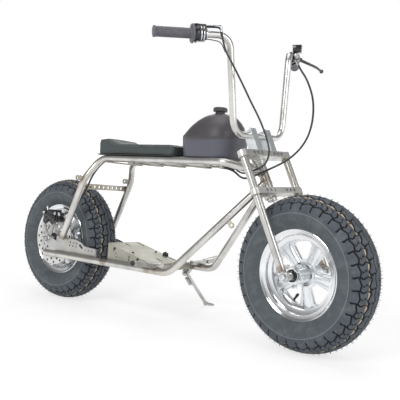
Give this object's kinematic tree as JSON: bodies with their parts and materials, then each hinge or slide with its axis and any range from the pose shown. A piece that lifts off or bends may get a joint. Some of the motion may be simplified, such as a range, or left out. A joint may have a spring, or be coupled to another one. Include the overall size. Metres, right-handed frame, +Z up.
{
  "type": "minibike rolling chassis",
  "caption": "Bare-steel minibike chassis with tall bars, fat tyres, tank and seat, leaning on its side stand, without an engine.",
  "frame": {"origin": "centre of the footprint at floor level", "axes": "+X forward, +Y to the rider's left, +Z up"},
  "size_m": [1.5944, 0.7428, 1.0149],
  "materials": {
    "raw_steel": "satin",
    "machined_steel": "machined",
    "tyre": "matte",
    "cast_wheel": "cast and clear coated",
    "black_metal": "satin",
    "tank_paint": "satin",
    "plate_paint": "satin",
    "black_plastic": "satin",
    "vinyl": "satin",
    "rubber": "matte",
    "control_alloy": "satin",
    "peg_metal": "satin"
  },
  "bodies": {
    "frame": {"head_tube": "raw_steel", "frame_upper_right": "raw_steel", "frame_lower_right": "raw_steel", "axle_plate_right": "raw_steel", "footpeg_right": "peg_metal", "frame_upper_left": "raw_steel", "frame_lower_left": "raw_steel", "axle_plate_left": "raw_steel", "footpeg_left": "peg_metal", "rear_cross_bracket": "raw_steel", "rail_straps": "raw_steel", "engine_plate": "plate_paint", "seat_base": "black_plastic", "seat_cushion": "vinyl", "fuel_tank": "tank_paint", "tank_cap": "black_plastic", "rear_axle": "machined_steel", "caliper_bracket": "raw_steel", "brake_caliper": "black_metal", "mudguard_ears": "raw_steel", "coil_ear": "raw_steel", "stand_bracket": "raw_steel", "cable_clip": "raw_steel", "brake_line": "rubber", "throttle_cable": "rubber", "brake_hose": "rubber"},
    "steering": {"lower_fork_clamp": "raw_steel", "upper_fork_clamp": "raw_steel", "steering_stem": "raw_steel", "fork_leg_right": "raw_steel", "fork_leg_left": "raw_steel", "front_axle": "machined_steel", "handlebar": "raw_steel", "bar_clamps": "raw_steel", "throttle_grip": "rubber", "throttle_housing": "control_alloy", "left_grip": "rubber", "brake_master": "black_metal", "brake_lever": "control_alloy"},
    "front_wheel": {"front_wheel_casting": "cast_wheel", "front_tyre": "tyre"},
    "rear_wheel": {"rear_wheel_casting": "cast_wheel", "rear_tyre": "tyre", "brake_disc": "machined_steel", "rear_sprocket": "machined_steel"},
    "side_stand": {"side_stand": "raw_steel"}
  },
  "joints": [
    {"name": "steering", "type": "hinge", "parent": "frame", "child": "steering", "pos_m": [0.40425, -0.05961, 0.48397], "axis": [-0.4388, 0.1251, 0.8898], "range_deg": [-28.8, 41.2], "deforming": ["throttle_cable", "brake_hose"]},
    {"name": "front_wheel_spin", "type": "hinge", "parent": "steering", "child": "front_wheel", "pos_m": [0.55403, -0.09649, 0.24329], "axis": [0.0971, 0.9911, -0.0914], "continuous": true},
    {"name": "rear_wheel_spin", "type": "hinge", "parent": "frame", "child": "rear_wheel", "pos_m": [-0.55383, -0.09349, 0.24235], "axis": [0.0001, 0.9903, -0.1392], "continuous": true},
    {"name": "side_stand_fold", "type": "hinge", "parent": "frame", "child": "side_stand", "pos_m": [-0.00378, 0.00315, 0.15434], "axis": [-0.0003, 0.8111, 0.5848], "range_deg": [0, 93.2]}
  ]
}
